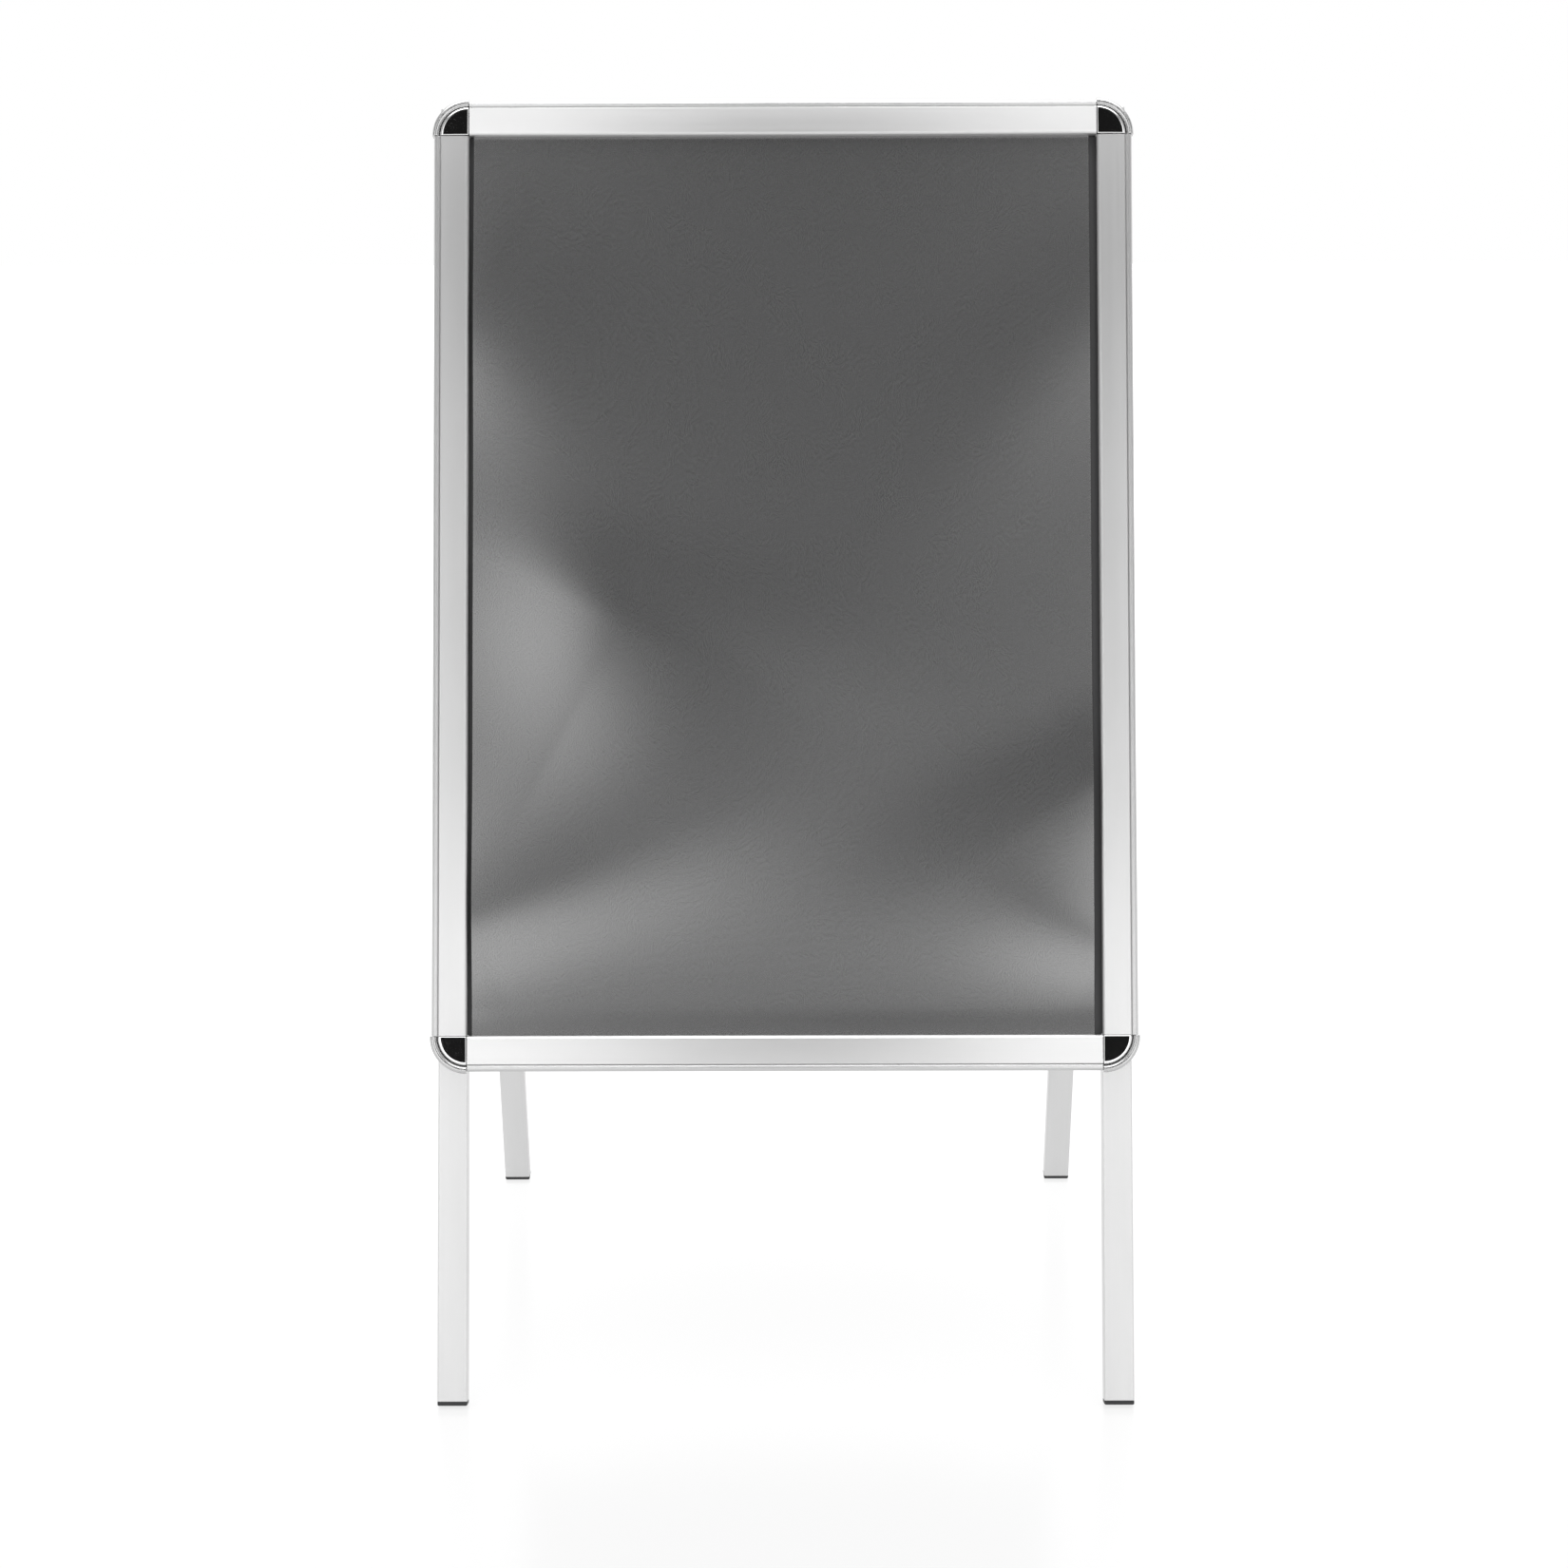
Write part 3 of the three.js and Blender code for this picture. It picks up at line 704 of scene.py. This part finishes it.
def stay_mesh(name, sign):
    """A flat bar with an eye at the pivot and a wider head round the stud's slot."""
    slot_half = RIVET_RADIUS + 1.5 * GAP
    head_half = slot_half + STAY_HEAD_WALL
    track = list(reversed(slot_line()))
    neck = 14
    lower_z = track[0][1] - head_half - neck
    half = STAY_HALF_WIDTH
    head = ribbon(track, head_half)
    around = [p for p in head if p[1] > track[0][1]]
    first = max(range(len(around)), key=lambda i: around[i][0] - 0.001 * around[i][1])
    around = around[first:] + around[:first]
    outline = [
        *arc(0, 0, half, 180, 360),
        (half, lower_z),
        (head_half * 0.98 + track[0][0], track[0][1] - 3),
        *sorted_around(around, track),
        (-head_half * 0.98 + track[0][0], track[0][1] - 3),
        (-half, lower_z),
    ]
    slot = ribbon(slot_line(), slot_half)
    hole = arc(0, 0, RIVET_RADIUS + GAP, 0, 354)
    holes = [hole, counterclockwise(slot)]
    return plate_mesh(name, outline, holes, OUTER_LAYER_X, OUTER_LAYER_X + PLATE, sign)


def counterclockwise(points):
    area = sum(a[0] * b[1] - b[0] * a[1] for a, b in zip(points, points[1:] + points[:1]))
    return points if area > 0 else list(reversed(points))


def sorted_around(points, track):
    """Points of the head in counterclockwise order, from its right lower end to its left one."""
    middle = Vector(track[len(track) // 2])

    def angle(p):
        return (math.atan2(p[1] - middle.y, p[0] - middle.x) + math.pi / 2) % (2 * math.pi)

    return sorted(points, key=angle)


def rivet_mesh():
    head = OUTER_LAYER_X - GAP
    bulb = LEG_INNER_X + LEG_WALL + GAP
    profile = [
        (head - 1.8, 0),
        (head - 1.7, 2.0),
        (head - 1.2, 3.6),
        (head - 0.5, 4.7),
        (head, 4.7),
        (head, RIVET_RADIUS),
        (bulb, RIVET_RADIUS),
        (bulb, RIVET_RADIUS + 0.6),
        (bulb + 1.6, RIVET_RADIUS),
        (bulb + 1.6, 0),
    ]
    return turned_along_x("stay_rivet", profile, rounding=0.4)


# ---------------------------------------------------------------- materials


class Tree:
    """A short way to write a material's nodes."""

    def __init__(self, name):
        self.material = bpy.data.materials.new(name)
        self.material.use_nodes = True
        self.nodes = self.material.node_tree.nodes
        self.links = self.material.node_tree.links
        self.shader = self.nodes["Principled BSDF"]

    def set(self, **values):
        for label, value in values.items():
            self.shader.inputs[label.replace("_", " ")].default_value = value

    def link(self, output, node, label):
        self.links.new(output, node.inputs[label])

    def object_place(self, scale):
        place = self.nodes.new("ShaderNodeTexCoord")
        mapping = self.nodes.new("ShaderNodeMapping")
        mapping.inputs["Scale"].default_value = scale
        self.link(place.outputs["Object"], mapping, "Vector")
        return mapping.outputs["Vector"]

    def noise(self, place, scale=1.0, detail=3.0, roughness=0.5):
        node = self.nodes.new("ShaderNodeTexNoise")
        node.inputs["Scale"].default_value = scale
        node.inputs["Detail"].default_value = detail
        node.inputs["Roughness"].default_value = roughness
        self.link(place, node, "Vector")
        return node.outputs["Fac"]

    def between(self, factor, low, high):
        node = self.nodes.new("ShaderNodeMapRange")
        node.inputs["From Min"].default_value = 0.3
        node.inputs["From Max"].default_value = 0.7
        node.inputs["To Min"].default_value = low
        node.inputs["To Max"].default_value = high
        self.link(factor, node, "Value")
        return node.outputs["Result"]

    def tint(self, factor, dark, light):
        node = self.nodes.new("ShaderNodeMix")
        node.data_type = "RGBA"
        node.inputs["A"].default_value = (*dark, 1)
        node.inputs["B"].default_value = (*light, 1)
        self.link(factor, node, "Factor")
        self.links.new(node.outputs["Result"], self.shader.inputs["Base Color"])

    def bump(self, height, distance, strength=1.0):
        node = self.nodes.new("ShaderNodeBump")
        node.inputs["Distance"].default_value = distance
        node.inputs["Strength"].default_value = strength
        self.link(height, node, "Height")
        self.link(node.outputs["Normal"], self.shader, "Normal")


def aluminium(name, lightness, roughness, anisotropy):
    """Satin anodised extrusion: fine die lines along its length, which spread reflections across it."""
    tree = Tree(name)
    lines = tree.noise(tree.object_place((1400, 1400, 3)), detail=2)
    cloud = tree.noise(tree.object_place((30, 30, 6)), detail=4)
    tree.tint(tree.between(cloud, 0.0, 1.0), (lightness * 0.97,) * 3, (lightness * 1.02,) * 3)
    tree.link(tree.between(lines, roughness * 0.92, roughness * 1.08), tree.shader, "Roughness")
    tree.bump(lines, 0.000002)
    tree.set(Metallic=1.0, Anisotropic=anisotropy)
    tangent = tree.nodes.new("ShaderNodeTangent")
    tangent.direction_type = "UV_MAP"
    tangent.uv_map = "UVMap"
    tree.link(tangent.outputs["Tangent"], tree.shader, "Tangent")
    return tree.material


def chrome(name, lightness, roughness):
    """Chromed casting with a faint waviness: a mirror, or satin where it is rougher."""
    tree = Tree(name)
    wave = tree.noise(tree.object_place((90, 90, 90)), detail=1)
    haze = tree.noise(tree.object_place((400, 400, 400)), detail=3)
    tree.tint(haze, (lightness * 0.98,) * 3, (lightness * 1.02,) * 3)
    tree.link(tree.between(haze, roughness * 0.7, roughness * 1.3), tree.shader, "Roughness")
    tree.bump(wave, 0.00006)
    tree.set(Metallic=1.0)
    return tree.material


def film():
    """Grey gloss of the cover sheet: dark inside, with a strong soft reflection."""
    tree = Tree("cover_sheet_film")
    grain = tree.noise(tree.object_place((2500, 2500, 2500)), detail=2)
    cloud = tree.noise(tree.object_place((7, 7, 7)), detail=3)
    tree.tint(tree.between(cloud, 0.0, 1.0), (0.023, 0.023, 0.0235), (0.026, 0.026, 0.0265))
    tree.link(tree.between(grain, 0.25, 0.29), tree.shader, "Roughness")
    tree.bump(grain, 0.000003)
    tree.set(Metallic=0.0, IOR=3.1)
    return tree.material


def moulded_plastic(name, colour, roughness, grain_scale, grain_depth):
    tree = Tree(name)
    grain = tree.noise(tree.object_place((grain_scale,) * 3), detail=4)
    tree.tint(tree.between(grain, 0.0, 1.0), tuple(0.9 * c for c in colour), tuple(1.1 * c for c in colour))
    tree.link(tree.between(grain, roughness - 0.05, roughness + 0.05), tree.shader, "Roughness")
    tree.bump(grain, grain_depth)
    tree.set(Metallic=0.0, IOR=1.5)
    return tree.material


def plated_steel(name, dark, light, roughness):
    """Plated steel with a mottled crystal finish."""
    tree = Tree(name)
    mottle = tree.noise(tree.object_place((260, 260, 260)), detail=5, roughness=0.65)
    scratch = tree.noise(tree.object_place((60, 900, 900)), detail=3)
    tree.tint(tree.between(mottle, 0.0, 1.0), dark, light)
    tree.link(tree.between(scratch, roughness * 0.8, roughness * 1.2), tree.shader, "Roughness")
    tree.bump(mottle, 0.00001)
    tree.set(Metallic=1.0)
    return tree.material


BAR_ALUMINIUM = aluminium("bar_aluminium_satin", 0.7, 0.4, 0.6)
# The rails share the covers' anodised aluminium; their copy is darker, which is painted shade on the rounded
# heads that face outwards.
RAIL_ALUMINIUM_PAINTED_SHADE = aluminium("rail_aluminium_satin_painted_shade", 0.6, 0.4, 0.6)
LEG_ALUMINIUM = aluminium("leg_aluminium_satin", 0.7, 0.42, 0.5)
CHROME = chrome("chrome_casting", 0.88, 0.045)
# The rim is rougher than the cap, for a satin rim, and its darker colour is painted shade that greys it.
RIM_CHROME_SATIN_PAINTED_SHADE = chrome("chrome_casting_rim_satin_painted_shade", 0.55, 0.28)
FILM = film()
PANEL_PLASTIC = moulded_plastic("panel_dark_plastic", (0.036, 0.036, 0.037), 0.5, 1500, 0.00002)
BLACK_PLASTIC = moulded_plastic("foot_black_plastic", (0.018, 0.018, 0.019), 0.45, 900, 0.00003)
ZINC = plated_steel("zinc_plated_steel", (0.5, 0.51, 0.53), (0.68, 0.69, 0.7), 0.34)
SPRING = plated_steel("spring_steel_blued", (0.22, 0.22, 0.24), (0.34, 0.34, 0.36), 0.28)

# ---------------------------------------------------------------- pieces


def add_piece(node, mesh, matrix, material):
    """Shows mesh in place of a CAD node, on the node's body."""
    if not mesh.materials:
        mesh.materials.append(material)
    piece = bpy.data.objects.new(node + "_fine", mesh)
    bpy.context.scene.collection.objects.link(piece)
    piece.matrix_world = matrix
    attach(piece, BODY_OF[node])
    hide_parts(node)
    return piece


def bar_meshes():
    """Rail, cover and spring meshes for the side bars (0) and for the top and bottom bars (1)."""
    made = {}
    for way, opening in enumerate((OPENING_HEIGHT, OPENING_WIDTH)):
        length = opening - 2 * GAP
        made["rail", way] = bar_mesh("rail", rail_outline(), length, 0.25, 0.2)
        made["cover", way] = bar_mesh("cover", cover_outline(), length, 0.45, 0.2)
        made["spring", way] = bar_mesh("spring", spring_outline(), 44, 0.3, 0.2)
    return made


def build_side(prefix, side, names, ear_layer_x, ear_pad_to, rivet_down, shared):
    """One poster side. names gives its bars in the order of on_frame."""
    for quarter, place in enumerate(names):
        bar = side @ on_frame(quarter)
        way = quarter % 2
        for kind, material, slot in (
            ("rail", RAIL_ALUMINIUM_PAINTED_SHADE, "bar_aluminium"),
            ("cover", BAR_ALUMINIUM, "bar_aluminium"),
            ("spring", SPRING, "spring_steel"),
        ):
            add_piece(f"{prefix}_{kind}_{place}", shared[kind, way], bar, material)
        neighbour = names[(quarter + 3) % 4]
        level, hand = (place, neighbour) if place in ("top", "bottom") else (neighbour, place)
        node = f"{prefix}_corner_{level}_{hand}"
        add_piece(node, shared["corner"], side @ at_corner(quarter), CHROME)
    panel_place = shift(0, -FRAME_OUT - PANEL_W, -OPENING_MIDDLE_DOWN) @ Matrix.Rotation(math.pi / 2, 4, "X")
    add_piece(
        f"{prefix}_back_panel", shared["panel"], side @ panel_place, PANEL_PLASTIC
    )
    sheet_place = shift(0, -FRAME_OUT - SHEET_W, -OPENING_MIDDLE_DOWN)
    add_piece(f"{prefix}_poster_sheet", shared["sheet"], side @ sheet_place, FILM)
    for sign, hand in ((1, names[0]), (-1, names[2])):
        leg_place = side @ shift(sign * LEG_X, -LEG_MIDDLE_OUT, 0)
        add_piece(f"{prefix}_leg_{hand}", shared["leg"], leg_place, LEG_ALUMINIUM)
        foot_place = leg_place @ shift(0, 0, -SIDE_LENGTH)
        add_piece(f"{prefix}_foot_{hand}", shared["foot"], foot_place, BLACK_PLASTIC)
        ear = f"{prefix}_hinge_ear_{hand}"
        add_piece(ear, ear_mesh(ear, sign, ear_layer_x, ear_pad_to), side, ZINC)
        face_out = Matrix.Identity(4) if sign > 0 else Matrix.Rotation(math.pi, 4, "Y")
        rivet_place = side @ shift(0, -RIVET_OUT, -rivet_down) @ face_out
        add_piece(f"{prefix}_stay_rivet_{hand}", shared["rivet"], rivet_place, ZINC)


def build_board():
    shared = bar_meshes()
    shared["corner"] = corner_mesh()
    shared["corner"].materials.append(CHROME)
    # Material 1, for the rim, is the darker chrome with its painted shade.
    shared["corner"].materials.append(RIM_CHROME_SATIN_PAINTED_SHADE)
    shared["panel"] = panel_mesh("back_panel")
    shared["sheet"] = sheet_mesh("cover_sheet")
    shared["leg"] = leg_mesh()
    shared["foot"] = foot_mesh()
    shared["rivet"] = rivet_mesh()
    build_side(
        "front",
        FRONT_SIDE,
        ("right", "top", "left", "bottom"),
        OUTER_LAYER_X,
        None,
        STAY_PIVOT_DOWN,
        shared,
    )
    build_side(
        "rear",
        REAR_SIDE,
        ("left", "top", "right", "bottom"),
        INNER_LAYER_X,
        LEG_INNER_X - GAP,
        STAY_STUD_DOWN,
        shared,
    )
    pin = hinge_pin_mesh()
    pivot = shift(0, -RIVET_OUT, -STAY_PIVOT_DOWN) @ Matrix.Rotation(-OPEN_LEAN, 4, "X")
    for sign, hand in ((1, "right"), (-1, "left")):
        face_out = Matrix.Identity(4) if sign > 0 else Matrix.Rotation(math.pi, 4, "Y")
        hinge = Matrix.Translation((0, 0, HINGE_HEIGHT)) @ face_out
        add_piece(f"hinge_pin_{hand}", pin, hinge, ZINC)
        node = f"stay_{hand}"
        add_piece(node, stay_mesh(node, sign), FRONT_SIDE @ pivot, ZINC)


# ---------------------------------------------------------------- floor, light and camera


FLOOR_GLOW = 0.81  # the lit sweep of the studio floor, as brightness of its own


def build_floor():
    mesh = bpy.data.meshes.new("studio_floor")
    bm = bmesh.new()
    bmesh.ops.create_grid(bm, x_segments=8, y_segments=8, size=60)
    bm.to_mesh(mesh)
    bm.free()
    floor = bpy.data.objects.new("studio_floor", mesh)
    bpy.context.scene.collection.objects.link(floor)
    tree = Tree("studio_floor_white")
    cloud = tree.noise(tree.object_place((0.6, 0.6, 0.6)), detail=2)
    tree.tint(cloud, (0.08, 0.08, 0.08), (0.09, 0.09, 0.09))
    tree.set(Roughness=0.17, IOR=1.45, Emission_Color=(1, 1, 1, 1), Emission_Strength=FLOOR_GLOW)
    mesh.materials.append(tree.material)


class Studio:
    """The light all round, written as a world shader of the direction looked in."""

    def __init__(self):
        world = bpy.data.worlds.new("soft_studio")
        bpy.context.scene.world = world
        world.use_nodes = True
        self.tree = world.node_tree
        self.back = self.tree.nodes["Background"]
        place = self.tree.nodes.new("ShaderNodeTexCoord")
        split = self.tree.nodes.new("ShaderNodeSeparateXYZ")
        self.tree.links.new(place.outputs["Generated"], split.inputs["Vector"])
        self.x, self.y, self.z = split.outputs

    def math(self, operation, a, b=0.0):
        node = self.tree.nodes.new("ShaderNodeMath")
        node.operation = operation
        for socket, value in zip(node.inputs, (a, b)):
            if isinstance(value, (int, float)):
                socket.default_value = value
            else:
                self.tree.links.new(value, socket)
        return node.outputs["Value"]

    def step(self, value, start, end):
        """0 before start and 1 after end, turning smoothly between them."""
        node = self.tree.nodes.new("ShaderNodeMapRange")
        node.interpolation_type = "SMOOTHSTEP"
        node.inputs["From Min"].default_value = start
        node.inputs["From Max"].default_value = end
        self.tree.links.new(value, node.inputs["Value"])
        return node.outputs["Result"]

    def mix(self, factor, a, b):
        """a where factor is 0 and b where it is 1."""
        rest = self.math("SUBTRACT", 1.0, factor)
        return self.math("ADD", self.math("MULTIPLY", rest, a), self.math("MULTIPLY", factor, b))


# Brightness of each part of the studio, where a white page is 1
OVERHEAD = 4.0
LOW_PANELS = 1.78
UPPER_ROOM = 0.09
FAR_SIDES = 0.2
DARK_CARD = 0.01
BACK_WALL = 0.65
BACK_WALL_LOW = 1.3
BACKGROUND_SEEN = 1.0


def build_light():
    """White behind and overhead, bright low down all round, and a dark card behind the camera.

    The bounds of each part are given as the x, y or z of a unit vector that points to it."""
    studio = Studio()
    sideways = studio.math("ABSOLUTE", studio.x)
    forward = studio.math("MULTIPLY", studio.y, -1.0)
    front = studio.step(forward, 0.0, 0.3)

    overhead = studio.step(studio.z, 0.72, 0.9)
    low = studio.math("SUBTRACT", 1.0, studio.step(studio.z, 0.42, 0.72))
    front_wall = studio.mix(low, UPPER_ROOM, LOW_PANELS)
    front_wall = studio.mix(studio.step(sideways, 0.5, 0.75), front_wall, FAR_SIDES)
    front_wall = studio.mix(overhead, front_wall, OVERHEAD)

    above_horizon = studio.step(studio.z, 0.07, 0.11)
    below_top = studio.math("SUBTRACT", 1.0, studio.step(studio.z, 0.75, 0.83))
    right_of = studio.step(studio.x, -0.21, -0.18)
    left_of = studio.math("SUBTRACT", 1.0, studio.step(studio.x, 0.19, 0.23))
    narrow = studio.math("MULTIPLY", right_of, left_of)
    card = studio.math("MULTIPLY", above_horizon, studio.math("MULTIPLY", below_top, narrow))
    front_wall = studio.mix(card, front_wall, DARK_CARD)

    near_horizon = studio.math("SUBTRACT", 1.0, studio.step(studio.z, 0.3, 0.45))
    back_wall = studio.mix(near_horizon, BACK_WALL, BACK_WALL_LOW)
    back_wall = studio.mix(overhead, back_wall, OVERHEAD)
    level = studio.mix(front, back_wall, front_wall)

    seen = studio.tree.nodes.new("ShaderNodeLightPath").outputs["Is Camera Ray"]
    shown = studio.mix(seen, level, BACKGROUND_SEEN)
    studio.tree.links.new(shown, studio.back.inputs["Strength"])
    studio.back.inputs["Color"].default_value = (1, 1, 1, 1)


CAMERA_AT = (0.0075, -2.563, 1.0515)
CAMERA_LENS = 61.79
CAMERA_SHIFT = (-0.0005, -0.0061)
CAMERA_HEADING = 0.168  # degrees to the left of straight back
CAMERA_DOWN = 11.687
CAMERA_ROLL = -0.175


def build_camera():
    """At the height and distance of a person with a short telephoto lens, looking slightly down."""
    data = bpy.data.cameras.new("camera")
    data.sensor_width = 36
    data.lens = CAMERA_LENS
    data.shift_x, data.shift_y = CAMERA_SHIFT
    data.clip_start = 0.05
    data.clip_end = 200
    camera = bpy.data.objects.new("camera", data)
    bpy.context.scene.collection.objects.link(camera)
    place = Matrix.Translation(CAMERA_AT)
    heading = Matrix.Rotation(math.radians(CAMERA_HEADING), 4, "Z")
    pitch = Matrix.Rotation(math.radians(90 - CAMERA_DOWN), 4, "X")
    roll = Matrix.Rotation(math.radians(CAMERA_ROLL), 4, "Z")
    camera.matrix_world = place @ heading @ pitch @ roll
    bpy.context.scene.camera = camera


build_board()
build_floor()
build_light()
build_camera()
bpy.context.scene.view_settings.view_transform = "Standard"
